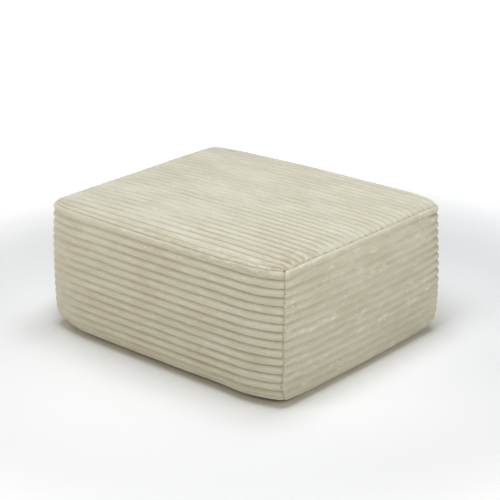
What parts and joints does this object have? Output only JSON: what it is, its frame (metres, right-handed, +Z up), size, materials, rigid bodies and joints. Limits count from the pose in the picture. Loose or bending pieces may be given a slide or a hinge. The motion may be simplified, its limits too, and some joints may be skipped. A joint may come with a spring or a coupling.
{
  "type": "ottoman",
  "caption": "Rectangular ottoman in wide ribbed corduroy: a filled body with a soft crown, drawn-in lower edge and ribbed panels sewn at the corners and round the top.",
  "frame": {"origin": "on the floor, under the middle of the ottoman", "axes": "+Z up, +X along the ribs of the top and the long side, -Y towards the front"},
  "size_m": [0.8966, 0.7866, 0.408],
  "materials": {
    "corduroy": "wide ribbed pile, matte with a soft sheen",
    "base_cloth": "plain woven, matte"
  },
  "bodies": {
    "root": {"filled_body": "base_cloth", "top_panel": "corduroy", "front_panel": "corduroy", "back_panel": "corduroy", "left_side_panel": "corduroy", "right_side_panel": "corduroy"}
  },
  "joints": []
}
